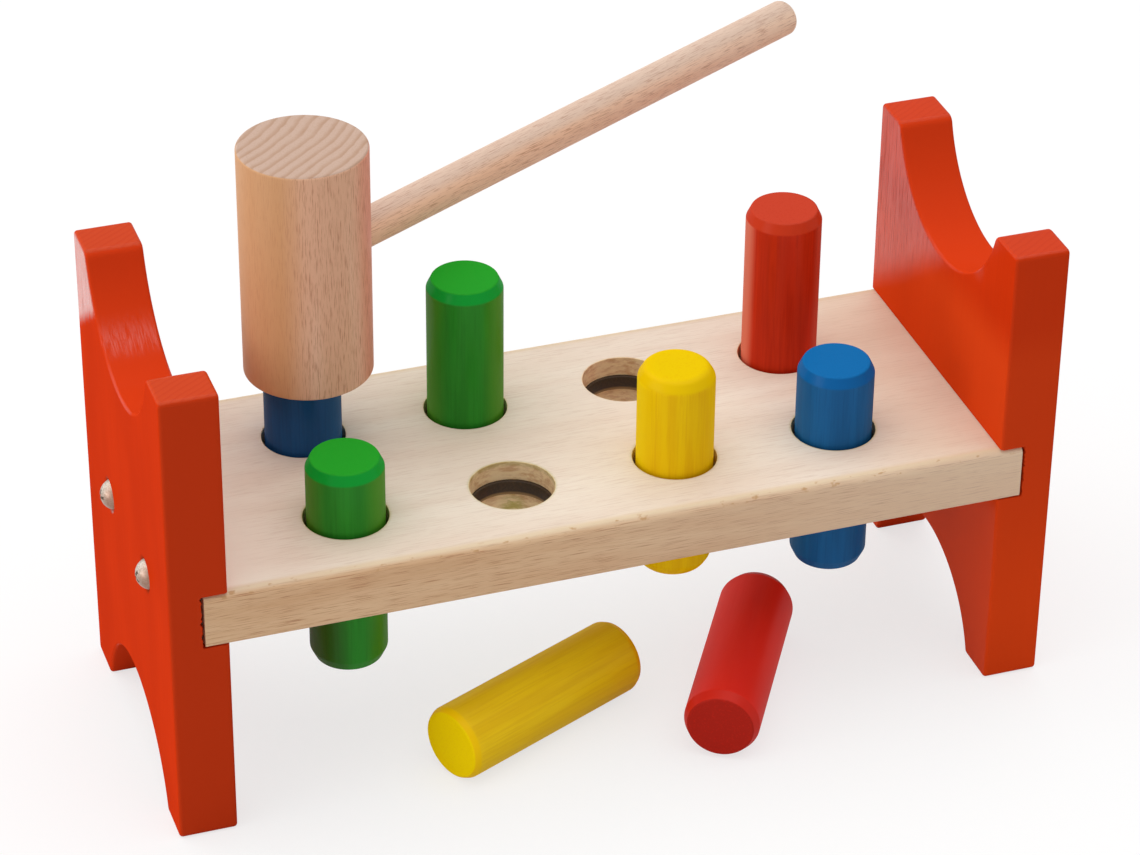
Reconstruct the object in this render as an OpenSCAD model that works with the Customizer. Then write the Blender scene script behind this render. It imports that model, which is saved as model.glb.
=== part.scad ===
/* [Bench] */
// Length over the outer faces of the two end panels
bench_len = 282; // [250:1:340]
// Depth of the board and panels, front to back
bench_depth = 105; // [96:1:140]
// Height of the end panels, the same either way up
bench_height = 155; // [146:1:190]

/* [End panels] */
// Thickness of each end panel
panel_thick = 18; // [14:0.5:24]
// Radius of the scoop at the top and the arch at the bottom
scoop_r = 38.4; // [34:0.1:42]
// Depth of the scoop and of the arch at their middle
scoop_depth = 28.2; // [18:0.1:32]
// Easing of every painted edge
panel_ease = 1.5; // [0.5:0.1:3]
// Depth of the cross groove that holds the end of the board
dado_depth = 8; // [5:0.5:10]
// Gap between the end of the board and the floor of the groove
dado_end_gap = 0.7; // [0.2:0.1:1.5]
// Gap between the board and each wall of the groove
dado_side_gap = 0.2; // [0.05:0.05:0.5]

/* [Peg board] */
// Thickness of the peg board
board_thick = 18; // [15:0.5:24]
// Rounding of its two upper long edges
board_round_top = 2.5; // [0.5:0.1:4]
// Rounding of its two lower long edges
board_round_bottom = 1; // [0.5:0.1:3]
// Distance from a panel's inner face to the nearest hole centre
hole_margin_x = 44.2; // [38:0.1:48]
// Distance from the board's edge to the nearest hole centre
hole_margin_y = 29; // [24:0.1:32]

/* [Pegs] */
// Diameter of a peg
peg_d = 24; // [20:0.5:26]
// Length of a peg
peg_len = 71; // [64:0.5:76]
// How far a peg's bevel goes in from its side
peg_bevel_in = 1.6; // [0.5:0.1:3]
// How far a peg's bevel goes down from its end
peg_bevel_down = 3.4; // [0.5:0.1:5]
// Height of the green front peg above the board
green_front_up = 21; // [4:0.5:50]
// Height of the yellow front peg above the board
yellow_front_up = 33; // [4:0.5:50]
// Height of the blue front peg above the board
blue_front_up = 24.5; // [4:0.5:50]
// Height of the blue back peg above the board, which the mallet stands on
blue_back_up = 24.2; // [4:0.1:50]
// Height of the green back peg above the board
green_back_up = 47; // [4:0.5:50]

/* [Holes and grip rings] */
// Gap between a peg and the wall of its hole
hole_gap = 1; // [0.6:0.1:1.5]
// Height of a rubber grip ring
ring_h = 5; // [3:0.1:7]
// How deep the ring's groove is cut into the wall of the hole
ring_groove = 1.6; // [1:0.1:2.5]
// Bevel at the two inner edges of a ring
ring_bevel = 0.5; // [0.2:0.1:0.8]
// Clearance between a peg and its ring
ring_fit = 0.05; // [0.02:0.01:0.1]
// Clearance between a ring and its groove, at the top, bottom and back
ring_seat = 0.05; // [0.02:0.01:0.1]

/* [Loose pegs] */
// Middle of the loose yellow peg, to the right of the bench's middle
loose_yellow_x = -21.8; // [-40:0.1:-21]
// Middle of the loose yellow peg, behind the bench's middle
loose_yellow_y = -33.5; // [-60:0.1:-33]
// Heading of the loose yellow peg, from the length of the bench
loose_yellow_turn = 24.5; // [10:0.5:35]
// Middle of the loose red peg, to the right of the bench's middle
loose_red_x = 45.8; // [44:0.1:60]
// Middle of the loose red peg, behind the bench's middle
loose_red_y = -34.8; // [-60:0.1:-34]
// Heading of the loose red peg, from the length of the bench
loose_red_turn = 59.5; // [50:0.5:90]

/* [Mallet] */
// Diameter of the mallet head
head_d = 40; // [34:0.5:48]
// Length of the mallet head
head_len = 77; // [60:0.5:90]
// Easing of the head's two edges
head_ease = 0.8; // [0.3:0.1:2]
// How far the head stands off the peg's axis, along the bench
head_off = 2.3; // [0:0.1:6]
// Diameter of the handle
handle_d = 12; // [10:0.5:16]
// Reach of the handle from the axis of the head
handle_reach = 223; // [180:1:260]
// Heading of the handle, from the length of the bench
handle_turn = 28.2; // [24:0.1:40]
// Easing of the handle's two ends
handle_ease = 1.5; // [0.5:0.1:3]
// How far the handle's blind bore runs past the axis of the head
bore_past = 8; // [4:0.5:12]
// Glue gap round the handle and at its inner end
glue_gap = 0.05; // [0.02:0.01:0.1]

/* [Screws] */
// Diameter of a screw's shank
screw_d = 4; // [3:0.1:5]
// Length of a screw below its head
screw_len = 35; // [28:0.5:40]
// Length of a screw's point
screw_tip = 5; // [3:0.5:8]
// Diameter of a screw's domed head
screw_head_d = 9; // [6:0.1:10]
// Height of a screw's domed head
screw_head_h = 2.8; // [1.5:0.1:3.5]
// Width of the arms of the cross recess in a screw's head
screw_cross_w = 1; // [0.6:0.1:1.2]
// Depth of the cross recess at the middle of the head
screw_cross_depth = 1.6; // [0.8:0.1:2]
// Distance from a panel's edge to the nearest screw
screw_margin = 30; // [22:0.5:36]
// Clearance round a screw's shank
screw_fit = 0.05; // [0.02:0.01:0.1]

/* [Hidden] */
$fn = 96;

// How far a cut runs past the face that it opens
overrun = 1;

// Colours as the object shows them
red_paint = "#cf3a17";
beech = "#dcc5a6";
mallet_beech = "#cfa37c";
green_stain = "#2f9a33";
blue_stain = "#1f5f9e";
yellow_stain = "#eec21c";
red_stain = "#cf3a24";
crimson_stain = "#b0261f";
rubber = "#3a2a22";
steel = "#c3bdae";

// Heights
board_mid = bench_height/2;
board_top = board_mid + board_thick/2;

// The board reaches into the grooves of both panels
inner_len = bench_len - 2*panel_thick;
board_len = inner_len + 2*(dado_depth - dado_end_gap);

// Four columns and two rows of holes, spread evenly between their margins
columns = 4;
hole_pitch_x = (inner_len - 2*hole_margin_x)/(columns - 1);
function hole_x(column) = -inner_len/2 + hole_margin_x + (column - 1)*hole_pitch_x;
front_row = -bench_depth/2 + hole_margin_y;
back_row = -front_row;
peg_r = peg_d/2;
hole_r = peg_r + hole_gap;
groove_r = hole_r + ring_groove;

// The red back peg is flush with the underside of the board
red_back_up = peg_len - board_thick;

// The scoop's centre lies beyond the panel's edge
scoop_rise = scoop_r - scoop_depth;

// The mallet stands on the blue back peg
head_x = hole_x(1) + head_off;
head_foot = board_top + blue_back_up;
handle_r = handle_d/2;

// The set is measured front to back, and its middle is the frame's origin.
// reach_y is how far a round bar turned in plan, with eased ends, goes in y.
function reach_y(along, r, ease_in, ease_down, turn) =
    max(along*sin(turn) + (r - ease_in)*cos(turn), (along - ease_down)*sin(turn) + r*cos(turn));
function loose_front(y, turn) = y - reach_y(peg_len/2, peg_r, peg_bevel_in, peg_bevel_down, turn);
set_front = min(-bench_depth/2, loose_front(loose_yellow_y, loose_yellow_turn),
    loose_front(loose_red_y, loose_red_turn));
set_back = max(bench_depth/2,
    back_row + reach_y(handle_reach, handle_r, handle_ease, handle_ease, handle_turn));
module on_origin() {
    translate([0, -(set_front + set_back)/2, 0]) children();
}

// A rectangle about the origin with its four corners cut at 45 degrees
module eased_rectangle(w, h, ease) {
    polygon([[-w/2 + ease, -h/2], [w/2 - ease, -h/2], [w/2, -h/2 + ease], [w/2, h/2 - ease],
        [w/2 - ease, h/2], [-w/2 + ease, h/2], [-w/2, h/2 - ease], [-w/2, -h/2 + ease]]);
}

// A panel blank about the origin, eased along all twelve edges
module panel_blank() {
    intersection() {
        linear_extrude(bench_height, center = true)
            eased_rectangle(panel_thick, bench_depth, panel_ease);
        rotate([90, 0, 90]) linear_extrude(panel_thick, center = true)
            eased_rectangle(bench_depth, bench_height, panel_ease);
        rotate([90, 0, 0]) linear_extrude(bench_depth, center = true)
            eased_rectangle(panel_thick, bench_height, panel_ease);
    }
}

// A round cut through a panel that flares where it meets the two faces
module scoop_cut() {
    flare = panel_ease + overrun;
    half = panel_thick/2 + overrun;
    rotate([0, 90, 0]) rotate_extrude()
        polygon([[0, -half], [scoop_r + flare, -half], [scoop_r, -half + flare],
            [scoop_r, half - flare], [scoop_r + flare, half], [0, half]]);
}

// The end panel for side -1 (left) or 1 (right), with its groove facing the board
module end_panel(side) {
    groove_h = board_thick + 2*dado_side_gap;
    translate([side*(bench_len - panel_thick)/2, 0, board_mid]) difference() {
        panel_blank();
        for (end = [-1, 1]) translate([0, 0, end*(bench_height/2 + scoop_rise)]) scoop_cut();
        translate([-side*(panel_thick/2 - dado_depth/2 + overrun/2), 0, 0])
            cube([dado_depth + overrun, bench_depth + 2*overrun, groove_h], center = true);
        for (row = [-1, 1]) translate([0, row*(bench_depth/2 - screw_margin), 0])
            rotate([0, 90, 0])
                cylinder(h = panel_thick + 2*overrun, r = screw_d/2 + screw_fit, center = true);
    }
}

module left_end_panel() {
    color(red_paint) end_panel(-1);
}

module right_end_panel() {
    color(red_paint) end_panel(1);
}

// The board's section, front to back, with its four corners rounded
module board_section() {
    for (edge = [[1, board_round_top], [-1, board_round_bottom]]) {
        r = edge[1];
        translate([-bench_depth/2 + r, min(0, edge[0]*board_thick/2)])
            square([bench_depth - 2*r, board_thick/2]);
        translate([-bench_depth/2, min(0, edge[0]*(board_thick/2 - r))])
            square([bench_depth, board_thick/2 - r]);
        for (end = [-1, 1]) translate([end*(bench_depth/2 - r), edge[0]*(board_thick/2 - r)])
            circle(r);
    }
}

// Depth of a screw's hole in the end of the board
function screw_hole_len() = screw_len - panel_thick + dado_depth - dado_end_gap + screw_fit;

module peg_board() {
    color(beech) translate([0, 0, board_mid]) difference() {
        rotate([90, 0, 90]) linear_extrude(board_len, center = true) board_section();
        for (column = [1:columns], y = [front_row, back_row]) translate([hole_x(column), y, 0]) {
            cylinder(h = board_thick + 2*overrun, r = hole_r, center = true);
            cylinder(h = ring_h + 2*ring_seat, r = groove_r, center = true);
        }
        for (side = [-1, 1], row = [-1, 1])
            translate([side*(board_len/2 - screw_hole_len()), row*(bench_depth/2 - screw_margin), 0])
                rotate([0, side*90, 0])
                    cylinder(h = screw_hole_len() + overrun, r = screw_d/2 + screw_fit);
    }
}

// A rubber band in the groove of one hole, which holds the peg by friction
module grip_ring(column, y) {
    inner = peg_r + ring_fit;
    outer = groove_r - ring_seat;
    color(rubber) translate([hole_x(column), y, board_mid]) rotate_extrude()
        polygon([[inner + ring_bevel, -ring_h/2], [outer, -ring_h/2], [outer, ring_h/2],
            [inner + ring_bevel, ring_h/2], [inner, ring_h/2 - ring_bevel],
            [inner, -ring_h/2 + ring_bevel]]);
}

// A round bar on the z axis from z = 0, with both ends eased
module eased_bar(len, r, ease_in, ease_down) {
    rotate_extrude()
        polygon([[0, 0], [r - ease_in, 0], [r, ease_down], [r, len - ease_down],
            [r - ease_in, len], [0, len]]);
}

module peg() {
    eased_bar(peg_len, peg_r, peg_bevel_in, peg_bevel_down);
}

// A peg pushed into one hole until the given height stands above the board
module peg_in_hole(column, y, up) {
    translate([hole_x(column), y, board_top + up - peg_len]) peg();
}

// A peg that lies on the ground along the x axis, with its middle over the origin
module lying_peg() {
    translate([0, 0, peg_r]) rotate([0, 90, 0]) translate([0, 0, -peg_len/2]) peg();
}

module peg_green_front() {
    color(green_stain) peg_in_hole(1, front_row, green_front_up);
}

module peg_yellow_front() {
    color(yellow_stain) peg_in_hole(3, front_row, yellow_front_up);
}

module peg_blue_front() {
    color(blue_stain) peg_in_hole(4, front_row, blue_front_up);
}

module peg_blue_back() {
    color(blue_stain) peg_in_hole(1, back_row, blue_back_up);
}

module peg_green_back() {
    color(green_stain) peg_in_hole(2, back_row, green_back_up);
}

module peg_red_back() {
    color(red_stain) peg_in_hole(4, back_row, red_back_up);
}

module peg_yellow_loose() {
    color(yellow_stain) translate([loose_yellow_x, loose_yellow_y, 0])
        rotate([0, 0, loose_yellow_turn]) lying_peg();
}

module peg_red_loose() {
    color(crimson_stain) translate([loose_red_x, loose_red_y, 0])
        rotate([0, 0, loose_red_turn]) lying_peg();
}

// Puts a bar that starts on the z axis along the handle, at the middle of the head
module along_handle() {
    translate([head_x, back_row, head_foot + head_len/2]) rotate([0, 90, handle_turn]) children();
}

module mallet_head() {
    color(mallet_beech) difference() {
        translate([head_x, back_row, head_foot])
            eased_bar(head_len, head_d/2, head_ease, head_ease);
        along_handle() translate([0, 0, -bore_past])
            cylinder(h = bore_past + head_d/2 + overrun, r = handle_r + glue_gap);
    }
}

module mallet_handle() {
    inner_end = bore_past - glue_gap;
    color(mallet_beech) along_handle() translate([0, 0, -inner_end])
        eased_bar(handle_reach + inner_end, handle_r, handle_ease, handle_ease);
}

// A domed head about the z axis, standing on z = 0, with a cross recess
module screw_head() {
    dome_r = (pow(screw_head_d/2, 2) + pow(screw_head_h, 2))/(2*screw_head_h);
    difference() {
        rotate_extrude() intersection() {
            translate([0, screw_head_h - dome_r]) circle(dome_r);
            square([screw_head_d/2, screw_head_h]);
        }
        for (turn = [0, 90]) rotate(turn)
            translate([0, 0, screw_head_h - screw_cross_depth/2 + overrun/2])
                cube([screw_head_d/2, screw_cross_w, screw_cross_depth + overrun], center = true);
    }
}

// One screw, driven from the outer face of a panel into the end of the board
module panel_screw(side, row) {
    color(steel)
        translate([side*bench_len/2, row*(bench_depth/2 - screw_margin), board_mid])
            rotate([0, side*90, 0]) {
                screw_head();
                rotate([180, 0, 0]) {
                    cylinder(h = screw_len - screw_tip, r = screw_d/2);
                    translate([0, 0, screw_len - screw_tip])
                        cylinder(h = screw_tip, r1 = screw_d/2, r2 = 0);
                }
            }
}

on_origin() left_end_panel();
on_origin() right_end_panel();
on_origin() peg_board();
on_origin() grip_ring(1, front_row);  // grip_ring_front_1
on_origin() grip_ring(2, front_row);  // grip_ring_front_2
on_origin() grip_ring(3, front_row);  // grip_ring_front_3
on_origin() grip_ring(4, front_row);  // grip_ring_front_4
on_origin() grip_ring(1, back_row);  // grip_ring_back_1
on_origin() grip_ring(2, back_row);  // grip_ring_back_2
on_origin() grip_ring(3, back_row);  // grip_ring_back_3
on_origin() grip_ring(4, back_row);  // grip_ring_back_4
on_origin() peg_green_front();
on_origin() peg_yellow_front();
on_origin() peg_blue_front();
on_origin() peg_blue_back();
on_origin() peg_green_back();
on_origin() peg_red_back();
on_origin() peg_yellow_loose();
on_origin() peg_red_loose();
on_origin() mallet_head();
on_origin() mallet_handle();
on_origin() panel_screw(-1, -1);  // screw_left_front
on_origin() panel_screw(-1, 1);  // screw_left_back
on_origin() panel_screw(1, -1);  // screw_right_front
on_origin() panel_screw(1, 1);  // screw_right_back
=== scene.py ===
import math
import random

import bmesh
import bpy
from mathutils import Matrix, Vector


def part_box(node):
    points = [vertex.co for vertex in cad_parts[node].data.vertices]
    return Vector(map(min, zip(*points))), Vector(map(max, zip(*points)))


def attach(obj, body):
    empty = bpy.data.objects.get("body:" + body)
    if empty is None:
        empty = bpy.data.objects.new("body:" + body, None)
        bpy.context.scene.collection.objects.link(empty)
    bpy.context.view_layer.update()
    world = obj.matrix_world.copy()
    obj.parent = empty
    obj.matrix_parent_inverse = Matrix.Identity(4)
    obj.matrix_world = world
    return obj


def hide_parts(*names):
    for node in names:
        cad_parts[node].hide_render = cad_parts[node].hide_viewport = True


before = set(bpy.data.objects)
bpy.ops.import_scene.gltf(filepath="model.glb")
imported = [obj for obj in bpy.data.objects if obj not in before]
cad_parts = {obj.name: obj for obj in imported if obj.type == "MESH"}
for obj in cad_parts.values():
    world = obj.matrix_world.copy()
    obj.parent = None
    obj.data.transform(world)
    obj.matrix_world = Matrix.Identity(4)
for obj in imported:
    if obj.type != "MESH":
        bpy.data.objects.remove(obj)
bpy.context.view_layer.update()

mm = 0.001
mmPerMetre = 1000
white = (1, 1, 1, 1)
laidAlongX = Matrix.Rotation(math.radians(90), 4, "Y")
scene = bpy.context.scene
scene.view_settings.view_transform = "Standard"


def boxMiddle(node):
    low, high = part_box(node)
    return (low + high) / 2


def colour(red, green, blue):  # a colour as a screen shows it, 0 to 255, made linear
    parts = [part / 255 for part in (red, green, blue)]
    return tuple(p / 12.92 if p < 0.04045 else ((p + 0.055) / 1.055) ** 2.4 for p in parts) + (1.0,)


# Nodes: sums on a Value add their own Math nodes, and every other node comes from NodeMaker.node

class Value:
    def __init__(self, maker, socket):
        self.maker = maker
        self.socket = socket

    def also(self, name):  # another output of the same node
        return Value(self.maker, self.socket.node.outputs[name])

    def maths(self, operation, *values):
        return self.maker.node("ShaderNodeMath", {"operation": operation}, dict(enumerate(values)))

    def fraction(self):
        return self.maths("FRACT", self)

    def wrapped(self, low, high):
        return self.maths("WRAP", self, high, low)

    def __add__(self, other):
        return self.maths("ADD", self, other)

    def __sub__(self, other):
        return self.maths("SUBTRACT", self, other)

    def __rsub__(self, other):
        return self.maths("SUBTRACT", other, self)

    def __mul__(self, other):
        return self.maths("MULTIPLY", self, other)

    def __truediv__(self, other):
        return self.maths("DIVIDE", self, other)

    def __pow__(self, other):
        return self.maths("POWER", self, other)

    def __abs__(self):
        return self.maths("ABSOLUTE", self)

    __radd__ = __add__
    __rmul__ = __mul__


def distance(*gaps):
    return sum(gap ** 2 for gap in gaps) ** 0.5


def ranged(value, low, high):  # low where the value is 0, and high where it is 1
    return value * (high - low) + low


class NodeMaker:
    def __init__(self, tree):
        self.tree = tree
        tree.nodes.clear()

    def node(self, kind, settings=None, sockets=None, out=0):
        made = self.tree.nodes.new(kind)
        for name, setting in (settings or {}).items():
            setattr(made, name, setting)
        for name, given in (sockets or {}).items():
            for one in given if isinstance(given, list) else [given]:
                if isinstance(one, Value):
                    self.tree.links.new(one.socket, made.inputs[name])
                else:
                    made.inputs[name].default_value = one
        return Value(self, made.outputs[out]) if len(made.outputs) else None

    def axes(self, place):
        parts = self.node("ShaderNodeSeparateXYZ", None, {0: place}, out="X")
        return parts, parts.also("Y"), parts.also("Z")

    def grain(self, place, size, detail, roughness=0.5, distortion=0.0):  # noise drawn out to size, in mm
        drawn = self.node("ShaderNodeVectorMath", {"operation": "DIVIDE"}, {0: place, 1: size})
        return self.node("ShaderNodeTexNoise", None, {
            "Vector": drawn, "Scale": 1.0, "Detail": detail, "Roughness": roughness,
            "Distortion": distortion})

    def step(self, value, start, full):  # softly from 0 at start to 1 at full, which may be the lower
        return self.node("ShaderNodeMapRange", {"interpolation_type": "SMOOTHSTEP"}, {
            "Value": value, "From Min": start, "From Max": full})

    def between(self, value, rise, fall):
        return self.step(value, *rise) * self.step(value, *fall)

    def patches(self, place, look, name):  # the look's grain of this name, sharpened by its step
        return self.step(self.grain(place, *look[name + "Grain"]), *look[name + "Step"])

    def blend(self, amount, first, second):  # colours go through a Mix node
        return self.node("ShaderNodeMix", {"data_type": "RGBA"}, {0: amount, 6: first, 7: second}, out=2)

    def local(self, place, shift=(0, 0, 0)):  # a piece's own place in mm, with the grain along z
        turned = place.inverted()
        start = turned.translation * mmPerMetre + Vector(shift)
        here = self.node("ShaderNodeTexCoord", out="Object")
        return self.node("ShaderNodeMapping", {"vector_type": "POINT"}, {
            "Vector": here, "Location": start, "Rotation": turned.to_euler("XYZ"),
            "Scale": (mmPerMetre,) * 3})


def newMaterial(name):
    material = bpy.data.materials.new(name)
    material.use_nodes = True
    return material, NodeMaker(material.node_tree)


def coated(material, maker, look, tone, gloss, height, sockets):  # ends a material in one Principled shader
    bump = maker.node("ShaderNodeBump", None, {
        "Height": height, "Distance": look["bumpDepth"] * mm, "Strength": look["bumpShare"]})
    shader = maker.node("ShaderNodeBsdfPrincipled", None, {
        "Base Color": tone, "Roughness": ranged(gloss, *look["roughness"]),
        "Specular IOR Level": look["specular"], "Normal": bump, **sockets})
    maker.node("ShaderNodeOutputMaterial", None, {"Surface": shader})
    return material


# Meshes

def newMesh(name, points, faces, place=None):
    mesh = bpy.data.meshes.new(name)
    mesh.from_pydata([tuple(p) for p in points], [], faces)
    if place:
        mesh.transform(place)
    mesh.validate()
    return mesh


def layeredMesh(name, layers):  # outlines with equally many points, joined in turn and closed at both ends
    count = len(layers[0])
    points = [point for layer in layers for point in layer]
    faces = []
    for first in range(0, len(points) - count, count):
        for k in range(count):
            n = (k + 1) % count
            faces.append((first + k, first + n, first + count + n, first + count + k))
    faces += [tuple(reversed(range(count))), tuple(range(len(points) - count, len(points)))]
    return newMesh(name, points, faces)


def turnedMesh(name, profile, steps, place):  # a profile of radius and height in mm, turned from pole to pole
    points, rings, faces = [], [], []
    for radius, height in profile:
        count = steps if radius > 0 else 1
        rings.append(list(range(len(points), len(points) + count)))
        for k in range(count):
            a = 2 * math.pi * k / steps
            points.append((radius * mm * math.cos(a), radius * mm * math.sin(a), height * mm))
    for low, high in zip(rings, rings[1:]):
        for k in range(steps):
            n = (k + 1) % steps
            if len(low) == 1:
                faces.append((low[0], high[n], high[k]))
            elif len(high) == 1:
                faces.append((low[k], low[n], high[0]))
            else:
                faces.append((low[k], low[n], high[n], high[k]))
    return newMesh(name, points, faces, place)


def turnedMeshes(name, profile, steps, places):  # the same turned shape at every place, as one mesh
    points, faces = [], []
    for place in places:
        one = turnedMesh(name, profile, steps, place)
        start = len(points)
        points += [v.co.copy() for v in one.vertices]
        faces += [tuple(start + k for k in f.vertices) for f in one.polygons]
        bpy.data.meshes.remove(one)
    return newMesh(name, points, faces)


def facesOut(mesh):
    work = bmesh.new()
    work.from_mesh(mesh)
    bmesh.ops.recalc_face_normals(work, faces=work.faces)
    work.to_mesh(mesh)
    work.free()


def newObject(name, data, *materials):
    made = bpy.data.objects.new(name, data)
    scene.collection.objects.link(made)
    for material in materials:
        data.materials.append(material)
    return made


def discard(made):
    mesh = made.data
    bpy.data.objects.remove(made)
    bpy.data.meshes.remove(mesh)


def smooth(mesh, sharpFrom=32):  # faces blend, and edges sharper than this stay crisp
    mesh.polygons.foreach_set("use_smooth", [True] * len(mesh.polygons))
    mesh.set_sharp_from_angle(angle=math.radians(sharpFrom))


def plain(host, name):  # the object's mesh with its modifiers worked in
    bpy.context.view_layer.update()
    graph = bpy.context.evaluated_depsgraph_get()
    shown = host.evaluated_get(graph)
    mesh = bpy.data.meshes.new_from_object(shown, preserve_all_data_layers=True, depsgraph=graph)
    discard(host)
    mesh.name = name
    return mesh


def cut(mesh, *cutters):  # takes each cutter out of the mesh
    host = newObject("cutting", mesh)
    tools = [newObject("cutter", cutter) for cutter in cutters]
    for tool in tools:
        taken = host.modifiers.new("cut", "BOOLEAN")
        taken.operation, taken.solver, taken.object = "DIFFERENCE", "EXACT", tool
    made = plain(host, "cut")
    for tool in tools:
        discard(tool)
    return made


def settled(mesh, name, largeFaces=90):  # flat faces keep flat shading beside their rounded edges
    smooth(mesh)
    host = newObject("settling", mesh)
    weighted = host.modifiers.new("settle", "WEIGHTED_NORMAL")
    weighted.keep_sharp, weighted.weight = True, largeFaces
    return plain(host, name)


def rounded(corners, radii, steps, support):  # fillets a line's inner corners, with a point beside each
    line = [corners[0]]
    for before, corner, after, radius in zip(corners, corners[1:], corners[2:], radii):
        here = Vector(corner)
        back, ahead = (Vector(before) - here).normalized(), (Vector(after) - here).normalized()
        half = back.angle(ahead) / 2
        reach = radius / math.tan(half)
        middle = here + (back + ahead).normalized() * radius / math.sin(half)
        first, last = here + back * reach - middle, here + ahead * reach - middle
        swing = first.angle_signed(last)
        line.append(tuple(here + back * (reach + support)))
        for k in range(steps + 1):
            turned = Matrix.Rotation(-swing * k / steps, 2) @ first
            line.append(tuple(middle + turned))
        line.append(tuple(here + ahead * (reach + support)))
    return line + [corners[-1]]


# Geometry Nodes trees

def shapeTree(name, sizes):
    tree = bpy.data.node_groups.new(name, "GeometryNodeTree")
    maker = NodeMaker(tree)
    keys = {}
    for label, size in sizes.items():
        kind = "NodeSocketInt" if isinstance(size, int) else "NodeSocketFloat"
        keys[label] = tree.interface.new_socket(label, in_out="INPUT", socket_type=kind).identifier
    tree.interface.new_socket("Geometry", in_out="OUTPUT", socket_type="NodeSocketGeometry")
    given = maker.node("NodeGroupInput")
    return tree, maker, keys, {label: given.also(label) for label in sizes}


def endTree(maker, placed, material):  # instances made real, with their material
    real = maker.node("GeometryNodeRealizeInstances", None, {"Geometry": placed})
    done = maker.node("GeometryNodeSetMaterial", None, {"Geometry": real, "Material": material})
    maker.node("NodeGroupOutput", None, {0: done})


def growMesh(name, tree, keys, sizes, place):  # runs a tree and keeps its plain mesh
    host = newObject(name, bpy.data.meshes.new(name + "Start"))
    growth = host.modifiers.new("grow", "NODES")
    growth.node_group = tree
    for label, size in sizes.items():
        growth[keys[label]] = size
    mesh = plain(host, name)
    mesh.transform(Matrix.Translation(place))
    return mesh


def mounted(piece, body, slot, *nodes):  # the piece stands for its nodes and moves with its body
    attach(piece, body)
    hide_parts(*nodes)
    return piece


# Camera, at the photograph's angle

view = {
    "turn": -19.163,
    "height": 32.5993,
    "roll": 0.6073,
    "distance": 1.2739,
    "lens": 129.75,
    "sensor": 36.0,
    "aim": (0.000299, -0.0315, 0.087763),
    "nearest": 0.1,
    "farthest": 20.0,
}


def placeCamera():
    turn, height, roll = (math.radians(view[k]) for k in ("turn", "height", "roll"))
    ahead = Vector((-math.sin(turn) * math.cos(height), math.cos(turn) * math.cos(height), -math.sin(height)))
    right = Vector((math.cos(turn), math.sin(turn), 0))
    up = right.cross(ahead)
    rolledRight = right * math.cos(roll) + up * math.sin(roll)
    rolledUp = up * math.cos(roll) - right * math.sin(roll)
    data = bpy.data.cameras.new("photoCamera")
    data.sensor_fit, data.sensor_width, data.lens = "HORIZONTAL", view["sensor"], view["lens"]
    data.clip_start, data.clip_end = view["nearest"], view["farthest"]
    camera = newObject("photoCamera", data)
    axes = Matrix((rolledRight, rolledUp, -ahead)).transposed().to_4x4()
    camera.matrix_world = Matrix.Translation(Vector(view["aim"]) - ahead * view["distance"]) @ axes
    scene.camera = camera


placeCamera()
print("Camera placed")

# Floor, air and lamps

studio = {
    "floorSize": 6.0,
    "floorColour": (0.74, 0.74, 0.74, 1),
    "floorSeen": (0.98, 0.98, 0.98, 1),
    "floorGlow": 0.69,          # how much of the seen floor is plain white
    "air": 0.40,                # the world's light on the object
}

lamps = (  # name, share of full light on a face turned to it, spread in degrees, where it comes from
    ("overheadLamp", 0.56, 84, (0.0, 0.12, 1.0)),
    ("sideLamp", 0.26, 80, (-1.0, 0.5, 0.30)),
    ("lowLamp", 0.25, 40, (-1.0, -0.22, 0.12)),
)


def seenRays(maker):  # 1 for what the camera sees, straight, mirrored or through glass
    path = maker.node("ShaderNodeLightPath", out="Is Camera Ray")
    seen = path + path.also("Is Glossy Ray") + path.also("Is Transmission Ray")
    return seen.maths("MINIMUM", seen, 1.0)


def layFloor():
    half = studio["floorSize"] / 2
    corners = [(-half, -half, 0), (half, -half, 0), (half, half, 0), (-half, half, 0)]
    material, maker = newMaterial("paleFloor")
    seen = seenRays(maker)
    tone = maker.blend(seen, studio["floorColour"], studio["floorSeen"])
    lit = maker.node("ShaderNodeBsdfDiffuse", None, {"Color": tone})
    glow = maker.node("ShaderNodeEmission", None, {"Color": white, "Strength": 1.0})
    mixed = maker.node("ShaderNodeMixShader", None, {0: seen * studio["floorGlow"], 1: lit, 2: glow})
    maker.node("ShaderNodeOutputMaterial", None, {"Surface": mixed})
    floor = newObject("floor", newMesh("floor", corners, [(0, 1, 2, 3)]), material)


def fillAir():
    world = bpy.data.worlds.new("paleAir")
    world.use_nodes = True
    scene.world = world
    maker = NodeMaker(world.node_tree)
    strength = ranged(seenRays(maker), studio["air"], 1)
    sky = maker.node("ShaderNodeBackground", None, {"Color": white, "Strength": strength})
    maker.node("ShaderNodeOutputWorld", None, {"Surface": sky})


def hangLamp(name, share, spread, source):
    data = bpy.data.lights.new(name, "SUN")
    data.energy, data.angle = share * math.pi, math.radians(spread)
    lamp = newObject(name, data)
    lamp.rotation_mode = "QUATERNION"
    lamp.rotation_quaternion = Vector(source).to_track_quat("Z", "Y")


layFloor()
fillAir()
for lampRow in lamps:
    hangLamp(*lampRow)
print("Floor, air and lamps set")

# End panels

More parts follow.
